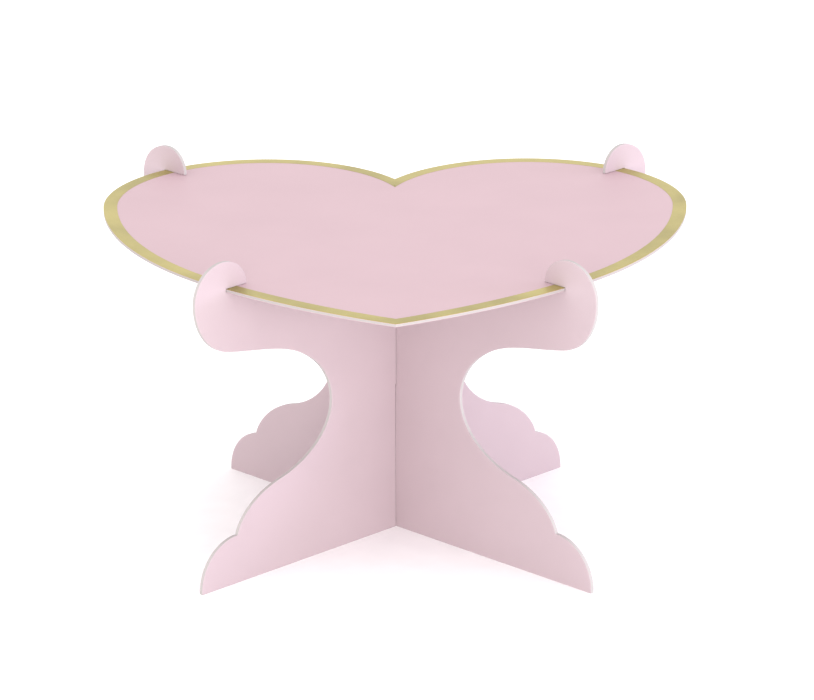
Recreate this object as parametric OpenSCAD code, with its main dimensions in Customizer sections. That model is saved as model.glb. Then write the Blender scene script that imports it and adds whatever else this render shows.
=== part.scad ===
// Flat-pack heart-shaped cake stand: a laminated card heart held by four hooks
// on two interlocking leg panels. Millimetres, +Z up, origin on the table where
// the leg panels cross, +Y towards the notch of the heart.

/* [Card] */
// Thickness of the board core of the heart
top_core_t = 1.2; // [1:0.1:2]
// Thickness of the board core of the legs
leg_core_t = 1.6; // [1.4:0.1:2.2]
// Thickness of each paper ply
paper_t = 0.2; // [0.15:0.01:0.3]
// Thickness of the gold foil
foil_t = 0.08; // [0.05:0.01:0.12]

/* [Heart top] */
// Height of the upper face above the table
top_h = 146.4; // [142:0.2:151]
// Radius of each lobe
lobe_r = 77; // [75:0.5:79]
// Distance of each lobe's centre from the middle
lobe_x = 64.6; // [63:0.2:66.6]
// Distance of the lobe centres behind the leg crossing
lobe_y = 54; // [52:0.5:57]
// Radius of the long side curve below each lobe
side_r = 183; // [178:1:189]
// Radius of the last curve down to the front tip
tip_r = 336; // [320:4:352]
// Width of the gold border
border_w = 6.7; // [5:0.1:7.8]

/* [Leg feet] */
// Reach of the front feet from the crossing
front_foot = 129.5; // [126:0.5:133]
// Reach of the back feet from the crossing
back_foot = 115.6; // [112:0.2:119]
// Radius of the toe scallop
toe_r = 23; // [22:0.2:24]
// Radius of the instep scallop
instep_r = 21.7; // [21:0.1:22.5]

/* [Leg waist] */
// Half width of the front waist
front_waist = 43.7; // [41:0.1:46]
// Half width of the back waist
back_waist = 42.7; // [41:0.1:45]
// Height of the waist
waist_h = 76; // [75:0.2:78]

/* [Hooks] */
// Reach of the front hooks beyond the edge of the heart
front_reach = 19.6; // [18:0.2:21]
// Reach of the back hooks beyond the edge of the heart
back_reach = 15.6; // [14:0.2:17]
// Depth of the hook arms below the upper face
arm_depth = 31.2; // [29:0.2:33]
// Height of the front ears above the heart
front_ear = 13.4; // [12:0.2:15]
// Height of the back ears above the heart
back_ear = 12.5; // [11:0.1:14]
// Overlap of the front ears on the heart
front_lap = 13; // [11:0.2:15]
// Overlap of the back ears on the heart
back_lap = 14.2; // [12:0.2:16]

/* [Fit] */
// Gap between the card and the walls of the slots
slot_gap = 0.2; // [0.15:0.05:0.3]

/* [Hidden] */
top_t = top_core_t + 2 * paper_t;
leg_t = leg_core_t + 2 * paper_t;
leg_top = top_h - top_t;
lap_h = leg_top / 2;
ear_base = top_h + foil_t + 0.1;
step_mm = 1.6;

white = "#f4f1ee";
pink = "#e9cbd2";
pink_under = "#e2c4cb";
gold = "#cdbf86";

// ---------- curves ----------

// Points along an ellipse arc from angle a0 to angle a1
function arc(c, rx, ry, a0, a1) =
    let (n = max(3, round(abs(a1 - a0) * PI / 180 * max(rx, ry) / step_mm)))
    [for (i = [0:n]) let (a = a0 + (a1 - a0) * i / n) c + [rx * cos(a), ry * sin(a)]];

// Points inside a cubic curve from p0 to p1 that leaves along d0 and arrives along d1
function blend(p0, d0, p1, d1) =
    let (n = max(3, round(norm(p1 - p0) / step_mm)), h = norm(p1 - p0) / 3,
         q0 = p0 + h * d0 / norm(d0), q1 = p1 - h * d1 / norm(d1))
    [for (i = [1:n - 1]) let (t = i / n, s = 1 - t)
        s * s * s * p0 + 3 * s * s * t * q0 + 3 * s * t * t * q1 + t * t * t * p1];

// Direction of travel along an ellipse at angle a, for rising angles
function along(rx, ry, a) = [-rx * sin(a), ry * cos(a)];

// Last point of a path, and a path without its first point
function last(path) = path[len(path) - 1];
function rest(path) = [for (i = [1:len(path) - 1]) path[i]];

// Angles, seen from the first centre and the second, of the upper crossing of two circles
function crossing_angles(c0, r0, c1, r1) =
    let (d = norm(c1 - c0), base = atan2(c1.y - c0.y, c1.x - c0.x),
         a = base - acos((d * d + r0 * r0 - r1 * r1) / (2 * d * r0)),
         p = c0 + r0 * [cos(a), sin(a)])
    [atan2(p.y - c0.y, p.x - c0.x), atan2(p.y - c1.y, p.x - c1.x)];

// Distance along a ray from the origin at angle a to the far side of a circle
function ray_reach(a, c, r) =
    let (b = c.x * cos(a) + c.y * sin(a)) b + sqrt(b * b - c * c + r * r);

// ---------- heart ----------

// Angles below horizontal where the lobe hands over to the side and the side to the tip
lobe_end = 3;
side_end = 47;

lobe_c = [lobe_x, lobe_y];
side_c = lobe_c + (lobe_r - side_r) * [cos(lobe_end), -sin(lobe_end)];
tip_c = side_c + (side_r - tip_r) * [cos(side_end), -sin(side_end)];

// Right half of the heart from notch to tip, drawn in by an inset
function half_heart(inset) = concat(
    arc(lobe_c, lobe_r - inset, lobe_r - inset, acos(-lobe_x / (lobe_r - inset)), -lobe_end),
    arc(side_c, side_r - inset, side_r - inset, -lobe_end, -side_end),
    arc(tip_c, tip_r - inset, tip_r - inset, -side_end, -acos(-tip_c.x / (tip_r - inset))));

module heart_2d(inset = 0) {
    right = half_heart(inset);
    left = [for (i = [len(right) - 2:-1:1]) [-right[i].x, right[i].y]];
    polygon(concat(right, left));
}

module heart_ply(z, t) {
    translate([0, 0, z])
        linear_extrude(t)
            heart_2d();
}

module top_core() {
    color(white) heart_ply(leg_top + paper_t, top_core_t);
}

module top_face_paper() {
    color(pink) heart_ply(top_h - paper_t, paper_t);
}

module top_base_paper() {
    color(pink_under) heart_ply(leg_top, paper_t);
}

module gold_border() {
    color(gold)
        translate([0, 0, top_h])
            linear_extrude(foil_t)
                difference() {
                    heart_2d();
                    heart_2d(border_w);
                }
}

// ---------- legs ----------

// Slot ends just outside the edge of the heart, where the panels pass under it
front_slot = ray_reach(-45, tip_c, tip_r) + slot_gap;
back_slot = ray_reach(45, lobe_c, lobe_r) + slot_gap;

// Height of the toe scallop's centre above the table
toe_lift = 0.8;

// Shape of the instep scallop: how far out its centre sits, its height and its last angle
instep_place = 0.662;
instep_h = 17.1;
instep_end = 34;

// Shape of the waist: half widths, half height and first angle of the curve below it,
// then half width, half height and last angle of the curve above it
front_low_rx = 52.9;
back_low_rx = 45.6;
low_ry = 33.4;
low_start = 249.6;
high_rx = 50.9;
high_ry = 35.2;
high_end = 110.8;

// Shape of the hooks: drop of the shoulder below the heart, first angle of the curve
// under the arm, how far inside the slot end that curve is centred, and how far
// outside it the peaks of the ears stand
shoulder = 4.1;
under_start = -77.3;
under_in = 5.2;
front_peak = 2;
back_peak = -2.1;

// One arm of a leg panel as a path from the toe at the table to the top edge.
// x runs outwards from the crossing and y runs up.
function arm(foot, waist, low_rx, slot, reach, ear, lap, peak) =
    let (toe_c = [foot - toe_r, toe_lift],
         instep_c = [foot * instep_place, instep_h],
         notch = crossing_angles(toe_c, toe_r, instep_c, instep_r),
         under_c = [slot - under_in, top_h - shoulder],
         under_rx = reach + under_in,
         under_ry = arm_depth - shoulder,
         peak_c = [slot + peak, top_h - shoulder],
         toe = arc(toe_c, toe_r, toe_r, asin(-toe_lift / toe_r), notch[0]),
         instep = arc(instep_c, instep_r, instep_r, notch[1], instep_end),
         low = arc([waist + low_rx, waist_h], low_rx, low_ry, low_start, 180),
         high = arc([waist + high_rx, waist_h], high_rx, high_ry, 180, high_end),
         under = arc(under_c, under_rx, under_ry, under_start, 0),
         outer = arc(peak_c, reach - peak, ear + shoulder, 0, 90),
         inner = arc([peak_c.x, ear_base], lap + peak, top_h + ear - ear_base, 90, 180))
    concat(
        toe,
        rest(instep),
        blend(last(instep), along(1, 1, instep_end), low[0], -along(low_rx, low_ry, low_start)),
        low,
        rest(high),
        blend(last(high), -along(high_rx, high_ry, high_end),
              under[0], along(under_rx, under_ry, under_start)),
        under,
        rest(outer),
        rest(inner),
        [[slot, ear_base], [slot, leg_top]]);

// Outline of a whole panel, front arm at -x and back arm at +x
module panel_2d() {
    back = arm(back_foot, back_waist, back_low_rx, back_slot,
               back_reach, back_ear, back_lap, back_peak);
    front = arm(front_foot, front_waist, front_low_rx, front_slot,
                front_reach, front_ear, front_lap, front_peak);
    polygon(concat(back, [for (i = [len(front) - 1:-1:0]) [-front[i].x, front[i].y]]));
}

// One ply of a panel in the XZ plane, filling y0 to y0 + t
module panel_ply(y0, t, lap_from) {
    gap = leg_t + 2 * slot_gap;
    translate([0, y0 + t, 0])
        rotate([90, 0, 0])
            linear_extrude(t)
                difference() {
                    panel_2d();
                    translate([-gap / 2, lap_from])
                        square([gap, lap_h + slot_gap / 2 + 1]);
                }
}

// Panel A runs from front left to back right and is slotted from below
module leg_a(y0, t) {
    rotate([0, 0, 45]) panel_ply(y0, t, -1);
}

// Panel B runs from front right to back left and is slotted from above
module leg_b(y0, t) {
    rotate([0, 0, 135]) panel_ply(y0, t, lap_h - slot_gap / 2);
}

module leg_a_core() {
    color(white) leg_a(-leg_core_t / 2, leg_core_t);
}

module leg_a_front_paper() {
    color(pink) leg_a(-leg_t / 2, paper_t);
}

module leg_a_back_paper() {
    color(pink) leg_a(leg_core_t / 2, paper_t);
}

module leg_b_core() {
    color(white) leg_b(-leg_core_t / 2, leg_core_t);
}

module leg_b_front_paper() {
    color(pink) leg_b(leg_core_t / 2, paper_t);
}

module leg_b_back_paper() {
    color(pink) leg_b(-leg_t / 2, paper_t);
}

top_core();
top_face_paper();
top_base_paper();
gold_border();
leg_a_core();
leg_a_front_paper();
leg_a_back_paper();
leg_b_core();
leg_b_front_paper();
leg_b_back_paper();
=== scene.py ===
"""Looks for the heart-shaped card cake stand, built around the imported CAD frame."""
import math

import bmesh
import bpy
from mathutils import Matrix, Vector


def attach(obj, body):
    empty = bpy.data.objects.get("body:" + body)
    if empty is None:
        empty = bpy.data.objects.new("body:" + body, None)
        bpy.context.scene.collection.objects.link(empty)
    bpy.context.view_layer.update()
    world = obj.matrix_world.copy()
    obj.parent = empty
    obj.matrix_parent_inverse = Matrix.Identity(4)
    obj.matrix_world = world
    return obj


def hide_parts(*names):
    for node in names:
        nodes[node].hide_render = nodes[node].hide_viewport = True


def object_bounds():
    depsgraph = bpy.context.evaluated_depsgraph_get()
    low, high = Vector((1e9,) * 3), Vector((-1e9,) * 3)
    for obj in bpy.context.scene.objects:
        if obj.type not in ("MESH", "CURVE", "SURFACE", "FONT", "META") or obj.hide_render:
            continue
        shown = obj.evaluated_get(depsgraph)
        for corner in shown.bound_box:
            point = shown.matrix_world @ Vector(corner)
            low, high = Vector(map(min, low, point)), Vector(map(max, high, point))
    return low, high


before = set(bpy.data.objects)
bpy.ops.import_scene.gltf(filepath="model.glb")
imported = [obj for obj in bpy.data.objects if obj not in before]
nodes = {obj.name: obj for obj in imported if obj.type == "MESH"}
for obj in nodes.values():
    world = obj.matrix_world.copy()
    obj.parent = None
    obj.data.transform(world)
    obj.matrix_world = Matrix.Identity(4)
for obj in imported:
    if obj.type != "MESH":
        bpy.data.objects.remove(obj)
cad_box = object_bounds()

# ---------------------------------------------------------------- camera
IMAGE_W = 814
SENSOR_MM = 36.0
CLIP_END = 50.0
FOCAL_PX = 5112.0
PITCH = math.radians(18.697)
YAW = math.radians(0.194)
ROLL = math.radians(-0.165)
CAMERA_AT = Vector((-0.00243, -2.32187, 0.8754))


def make_camera():
    data = bpy.data.cameras.new("camera")
    data.sensor_width = SENSOR_MM
    data.lens = FOCAL_PX / IMAGE_W * SENSOR_MM
    data.clip_end = CLIP_END
    camera = bpy.data.objects.new("camera", data)
    bpy.context.collection.objects.link(camera)
    level = math.cos(PITCH)
    forward = Vector((math.sin(YAW) * level, math.cos(YAW) * level, -math.sin(PITCH)))
    right = Vector((math.cos(YAW), -math.sin(YAW), 0.0))
    up = right.cross(forward)
    rolled_right = right * math.cos(ROLL) + up * math.sin(ROLL)
    rolled_up = up * math.cos(ROLL) - right * math.sin(ROLL)
    axes = Matrix((rolled_right, rolled_up, -forward)).transposed().to_4x4()
    camera.matrix_world = Matrix.Translation(CAMERA_AT) @ axes
    bpy.context.scene.camera = camera


# ---------------------------------------------------------------- node helpers
# The part of a noise's range that holds nearly all of its values
NOISE_LOW = 0.25
NOISE_HIGH = 0.75

# The values of a noise at which a two-colour mottle is darkest and lightest
DARK_AT = 0.3
LIGHT_AT = 0.7


class Shader:
    """A short way to write a material's nodes."""

    def __init__(self, name):
        self.material = bpy.data.materials.new(name)
        self.material.use_nodes = True
        self.tree = self.material.node_tree
        self.tree.nodes.clear()
        self.output = self.tree.nodes.new("ShaderNodeOutputMaterial")
        self.surface = self.tree.nodes.new("ShaderNodeBsdfPrincipled")
        self.link(self.surface.outputs["BSDF"], self.output.inputs["Surface"])

    def node(self, kind, **settings):
        made = self.tree.nodes.new(kind)
        for key, value in settings.items():
            setattr(made, key, value)
        return made

    def link(self, source, target):
        self.tree.links.new(source, target)

    def position(self, scale=(1.0, 1.0, 1.0), turn=0.0):
        """Object coordinates along axes turned about Z, each divided by its scale."""
        coordinates = self.node("ShaderNodeTexCoord")
        mapping = self.node("ShaderNodeMapping", vector_type="TEXTURE")
        mapping.inputs["Rotation"].default_value = (0.0, 0.0, turn)
        mapping.inputs["Scale"].default_value = scale
        self.link(coordinates.outputs["Object"], mapping.inputs["Vector"])
        return mapping.outputs["Vector"]

    def noise(self, vector, scale, detail=2.0, roughness=0.5):
        made = self.node("ShaderNodeTexNoise")
        made.inputs["Scale"].default_value = scale
        made.inputs["Detail"].default_value = detail
        made.inputs["Roughness"].default_value = roughness
        self.link(vector, made.inputs["Vector"])
        return made.outputs["Fac"]

    def ramp(self, factor, stops):
        made = self.node("ShaderNodeValToRGB")
        ramp = made.color_ramp
        while len(ramp.elements) < len(stops):
            ramp.elements.new(0.5)
        for element, (place, colour) in zip(ramp.elements, stops):
            element.position = place
            element.color = (*colour, 1.0)
        self.link(factor, made.inputs["Fac"])
        return made.outputs["Color"]

    def to_range(self, value, low, high):
        made = self.node("ShaderNodeMapRange")
        made.inputs["From Min"].default_value = NOISE_LOW
        made.inputs["From Max"].default_value = NOISE_HIGH
        made.inputs["To Min"].default_value = low
        made.inputs["To Max"].default_value = high
        self.link(value, made.inputs["Value"])
        return made.outputs["Result"]

    def bump(self, height, distance):
        made = self.node("ShaderNodeBump")
        made.inputs["Distance"].default_value = distance
        made.inputs["Strength"].default_value = BUMP_STRENGTH
        self.link(height, made.inputs["Height"])
        self.link(made.outputs["Normal"], self.surface.inputs["Normal"])

    def set(self, **values):
        for name, value in values.items():
            self.surface.inputs[name.replace("_", " ")].default_value = value


# ---------------------------------------------------------------- materials
# Reflectances, linear. The light is set so that the white floor goes just past white.
TOP_PINK = (0.484, 0.338, 0.369)
LEG_PINK = (0.450, 0.353, 0.377)
BOARD = (0.410, 0.383, 0.374)
# The top's cut edge is the same white board as the legs, darkened here as painted shade
TOP_BOARD_SHADED = (0.375, 0.345, 0.335)
FOIL = (0.40, 0.338, 0.122)
CUT_EDGE = "cut_edge"

# Noise scales, in cycles per metre
CLOUD_SCALE = 26.0
EDGE_PALING_SCALE = 420.0
FIBRE_SCALE = 2600.0
LAYER_SCALE = 700.0
BAND_SCALE = 30.0
GRAIN_SCALE = 1500.0
FLOOR_SCALE = 60.0

# Thickness of a layer of board as a share of its length
LAYER_FLATNESS = 0.15

# Heights of the relief, in metres, and how strongly it shades
FIBRE_RELIEF = 0.00002
LAYER_RELIEF = 0.00003
GRAIN_RELIEF = 0.00003
BUMP_STRENGTH = 0.5

# Largest share of the board's colour in the paper's pressed edge
MOST_EDGE_PALING = 0.35


def shaded(colour, share):
    return tuple(c * share for c in colour)


def paper(name, colour):
    """Coated pink paper: faint clouds, fine fibres, uneven sheen, and patches paler towards the
    pressed edge.
    """
    shade = Shader(name)
    place = shade.position()
    clouding = shade.noise(place, CLOUD_SCALE, detail=3.0)
    clouds = shade.ramp(
        clouding,
        [(DARK_AT, shaded(colour, 0.985)), (LIGHT_AT, shaded(colour, 1.015))],
    )
    # The pressed edge is painted paler in patches, mixed towards the board's colour
    pressed = shade.node("ShaderNodeAttribute", attribute_name=CUT_EDGE)
    paling_noise = shade.noise(place, EDGE_PALING_SCALE, detail=3.0)
    edge_paling = shade.node("ShaderNodeMath", operation="MULTIPLY", use_clamp=True)
    shade.link(pressed.outputs["Fac"], edge_paling.inputs[0])
    shade.link(shade.to_range(paling_noise, low=0.0, high=MOST_EDGE_PALING), edge_paling.inputs[1])
    mixed = shade.node("ShaderNodeMix", data_type="RGBA")
    shade.link(edge_paling.outputs["Value"], mixed.inputs["Factor"])
    shade.link(clouds, mixed.inputs["A"])
    mixed.inputs["B"].default_value = (*BOARD, 1.0)
    shade.link(mixed.outputs["Result"], shade.surface.inputs["Base Color"])
    fibres = shade.noise(place, FIBRE_SCALE, detail=4.0, roughness=0.65)
    shade.link(shade.to_range(fibres, low=0.5, high=0.62), shade.surface.inputs["Roughness"])
    shade.bump(fibres, FIBRE_RELIEF)
    shade.set(Specular_IOR_Level=0.3)
    return shade.material


def board_edge(name, colour, turn, scale):
    """Cut edge of the white board: thin layers of fibre that lie along the card."""
    shade = Shader(name)
    place = shade.position(scale=scale, turn=turn)
    layers = shade.noise(place, LAYER_SCALE, detail=5.0, roughness=0.7)
    shade.link(
        shade.ramp(layers, [(DARK_AT, shaded(colour, 0.95)), (LIGHT_AT, shaded(colour, 1.05))]),
        shade.surface.inputs["Base Color"],
    )
    shade.bump(layers, LAYER_RELIEF)
    shade.set(Roughness=0.9, Specular_IOR_Level=0.2)
    return shade.material


def gold_foil(name):
    """Hot-stamped foil: satin gold with the paper's grain, and lighter and darker bands painted
    into its colour as reflections of the board's slow waves.
    """
    shade = Shader(name)
    place = shade.position()
    # Painted reflections: bands of lighter and darker gold in the base colour, for the board's
    # slow waves
    reflection_bands = shade.noise(place, BAND_SCALE, detail=2.5, roughness=0.55)
    shade.link(
        shade.ramp(
            reflection_bands,
            [(0.34, shaded(FOIL, 0.84)), (0.5, FOIL), (0.66, shaded(FOIL, 1.12))],
        ),
        shade.surface.inputs["Base Color"],
    )
    grain = shade.noise(place, GRAIN_SCALE, detail=4.0, roughness=0.6)
    shade.link(shade.to_range(grain, low=0.42, high=0.54), shade.surface.inputs["Roughness"])
    shade.bump(grain, GRAIN_RELIEF)
    shade.set(Metallic=0.75, Specular_IOR_Level=0.5)
    return shade.material


# ---------------------------------------------------------------- card plies
MM = 0.001
ROLL_DEPTH = 0.13 * MM
ROLL_WIDTH = 1.0 * MM
ROLL_STEPS = 5
PINCH_DEPTH = 0.03 * MM
SAME_POINT = 0.002 * MM
FLAT_DOT = 0.999
MITRE_LIMIT = 1.6
SMALLEST_COSINE = 0.1
PINCH_PLACES = (0.2, 0.5, 0.8)
SHARP_TURN = math.radians(28)


def flat_loops(source, axis):
    """Outlines of a flat node's upper side, as points that keep the material on their left."""
    mesh = bmesh.new()
    mesh.from_mesh(source.data)
    bmesh.ops.remove_doubles(mesh, verts=mesh.verts, dist=SAME_POINT)
    cap = {face for face in mesh.faces if face.normal.dot(axis) > FLAT_DOT}
    following = {}
    for face in cap:
        for loop in face.loops:
            if not any(other in cap for other in loop.edge.link_faces if other is not face):
                following[loop.vert] = loop.link_loop_next.vert
    loops = []
    while following:
        here = next(iter(following))
        points = []
        while here in following:
            points.append(here.co.copy())
            here = following.pop(here)
        loops.append(points)
    mesh.free()
    return loops


def inward(points, axis):
    """At each outline point, the mitred step into the material for one unit of inset."""
    steps = []
    for index, here in enumerate(points):
        before = axis.cross((here - points[index - 1]).normalized())
        after = axis.cross((points[(index + 1) % len(points)] - here).normalized())
        mitre = (before + after).normalized()
        steps.append(mitre * min(MITRE_LIMIT, 1.0 / max(mitre.dot(before), SMALLEST_COSINE)))
    return steps


def encloses(points, axis):
    """True for an outer outline, false for the outline of a hole."""
    area = sum((points[i - 1].cross(points[i]) for i in range(len(points))), Vector())
    return area.dot(axis) > 0


def edge_profile(low, high, side):
    """(inset, height, press, pressed) from the upper face, round the cut edge, to the lower face.

    side is 1 for a ply above the middle of its card, -1 for one below and 0 for the core.
    """
    upper_press = -ROLL_DEPTH if side >= 0 else ROLL_DEPTH
    lower_press = ROLL_DEPTH if side <= 0 else -ROLL_DEPTH
    shares = [step / ROLL_STEPS for step in range(ROLL_STEPS, -1, -1)]
    upper = [(w * ROLL_WIDTH, high, upper_press * (1 - w) ** 2, 1 - w) for w in shares]
    lower = [(w * ROLL_WIDTH, low, lower_press * (1 - w) ** 2, 1 - w) for w in reversed(shares)]
    pinch = []
    if side == 0:
        top, bottom = high + upper_press, low + lower_press
        pinch = [
            (PINCH_DEPTH * math.sin(math.pi * part), top + (bottom - top) * part, 0, 1)
            for part in PINCH_PLACES
        ]
    return upper + pinch + lower


def ring_edges(mesh, ring):
    return [mesh.edges.get((ring[i - 1], ring[i])) for i in range(len(ring))]


def build_ply(node, axis, middle, material):
    """One flat ply as the die leaves it, its cut edge pressed towards the middle of its card."""
    source = nodes[node]
    heights = [vertex.co.dot(axis) for vertex in source.data.vertices]
    low, high = min(heights), max(heights)
    offset = (low + high) / 2 - middle
    side = 0 if abs(offset) < SAME_POINT else int(math.copysign(1, offset))
    profile = edge_profile(low, high, side)

    mesh = bmesh.new()
    layer = mesh.verts.layers.float.new(CUT_EDGE)
    first_edges, last_edges = [], []
    for points in flat_loops(source, axis):
        steps = inward(points, axis)
        roll = 1 if encloses(points, axis) else 0
        rings = []
        for inset, height, press, pressed in profile:
            ring = []
            for point, step in zip(points, steps):
                lift = height + press * roll - high
                vertex = mesh.verts.new(point + step * inset + axis * lift)
                vertex[layer] = pressed * roll
                ring.append(vertex)
            rings.append(ring)
        for ring, below in zip(rings, rings[1:]):
            for i in range(len(ring)):
                mesh.faces.new((ring[i - 1], below[i - 1], below[i], ring[i]))
        first_edges += ring_edges(mesh, rings[0])
        last_edges += ring_edges(mesh, rings[-1])
    bmesh.ops.triangle_fill(mesh, edges=first_edges, use_beauty=True, normal=axis)
    bmesh.ops.triangle_fill(mesh, edges=last_edges, use_beauty=True, normal=-axis)
    bmesh.ops.recalc_face_normals(mesh, faces=mesh.faces)

    data = bpy.data.meshes.new(node)
    mesh.to_mesh(data)
    mesh.free()
    data.shade_smooth()
    data.set_sharp_from_angle(angle=SHARP_TURN)
    data.materials.append(material)
    piece = bpy.data.objects.new("card_" + node, data)
    bpy.context.collection.objects.link(piece)
    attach(piece, "root")
    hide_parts(node)


def middle_of(node, axis):
    heights = [vertex.co.dot(axis) for vertex in nodes[node].data.vertices]
    return (min(heights) + max(heights)) / 2


def build_cards():
    up = Vector((0, 0, 1))
    middle = middle_of("top_core", up)
    # The top's cut edge takes the darker board colour, which is painted shade
    flat_board = board_edge("board_top_shaded", TOP_BOARD_SHADED, 0.0, (1.0, 1.0, LAYER_FLATNESS))
    build_ply("top_core", up, middle, flat_board)
    build_ply("top_face_paper", up, middle, paper("paper_top", TOP_PINK))
    build_ply("top_base_paper", up, middle, paper("paper_base", TOP_PINK))
    build_ply("gold_border", up, middle, gold_foil("foil_gold"))
    leg_paper = paper("paper_leg", LEG_PINK)
    for letter, turn in (("a", math.radians(45)), ("b", math.radians(135))):
        across = Vector((-math.sin(turn), math.cos(turn), 0))
        middle = middle_of(f"leg_{letter}_core", across)
        leg_board = board_edge(f"board_leg_{letter}", BOARD, turn, (1.0, LAYER_FLATNESS, 1.0))
        build_ply(f"leg_{letter}_core", across, middle, leg_board)
        build_ply(f"leg_{letter}_front_paper", across, middle, leg_paper)
        build_ply(f"leg_{letter}_back_paper", across, middle, leg_paper)


# ---------------------------------------------------------------- stage
FLOOR_HALF = 12.0
FLOOR_DARKER = 0.9560
FLOOR_LIGHTER = 0.9911


def make_floor():
    shade = Shader("floor_paper")
    grain = shade.noise(shade.position(), FLOOR_SCALE, detail=3.0)
    shade.link(
        shade.ramp(grain, [(DARK_AT, (FLOOR_DARKER,) * 3), (LIGHT_AT, (FLOOR_LIGHTER,) * 3)]),
        shade.surface.inputs["Base Color"],
    )
    shade.set(Roughness=0.9, Specular_IOR_Level=0.1)
    half = FLOOR_HALF
    corners = [(-half, -half, 0), (half, -half, 0), (half, half, 0), (-half, half, 0)]
    mesh = bpy.data.meshes.new("floor")
    mesh.from_pydata(corners, [], [(0, 1, 2, 3)])
    mesh.materials.append(shade.material)
    floor = bpy.data.objects.new("floor", mesh)
    floor.location.z = cad_box[0][2]
    bpy.context.collection.objects.link(floor)


LIGHT_DISTANCE = 2.6
LIGHT_AIM = Vector((0, 0, 0.08))
LIGHT_WIDTH = 1.4
LIGHT_HEIGHT = 0.8
WORLD_STRENGTH = 1.46

# Name, azimuth from +X towards +Y and elevation in degrees, power in watts, and colour
SOFT_BOXES = [
    ("key", -62, 10, 23.0, (0.98, 0.98, 1.0)),
    ("front", -104, 8, 20.0, (1.0, 0.985, 0.96)),
    ("side", 5, 10, 21.0, (0.68, 0.7, 1.0)),
    ("accent", -45, 6, 7.0, (0.95, 0.96, 1.0)),
    ("back", 141, 10, 9.0, (1.0, 0.98, 0.98)),
]


def soft_box(name, azimuth, elevation, power, colour):
    """A soft box that faces the stand."""
    around, above = math.radians(azimuth), math.radians(elevation)
    data = bpy.data.lights.new(name, "AREA")
    data.shape = "RECTANGLE"
    data.size, data.size_y = LIGHT_WIDTH, LIGHT_HEIGHT
    data.energy = power
    data.color = colour
    level = math.cos(above)
    towards = Vector((math.cos(around) * level, math.sin(around) * level, math.sin(above)))
    light = bpy.data.objects.new(name, data)
    light.location = LIGHT_AIM + towards * LIGHT_DISTANCE
    light.rotation_euler = towards.to_track_quat("Z", "Y").to_euler()
    bpy.context.collection.objects.link(light)


def make_light():
    world = bpy.data.worlds.new("studio")
    world.use_nodes = True
    back = world.node_tree.nodes["Background"]
    back.inputs["Color"].default_value = (1.0, 1.0, 1.0, 1.0)
    back.inputs["Strength"].default_value = WORLD_STRENGTH
    bpy.context.scene.world = world
    for box in SOFT_BOXES:
        soft_box(*box)
    bpy.context.scene.view_settings.view_transform = "Standard"


make_camera()
build_cards()
make_floor()
make_light()
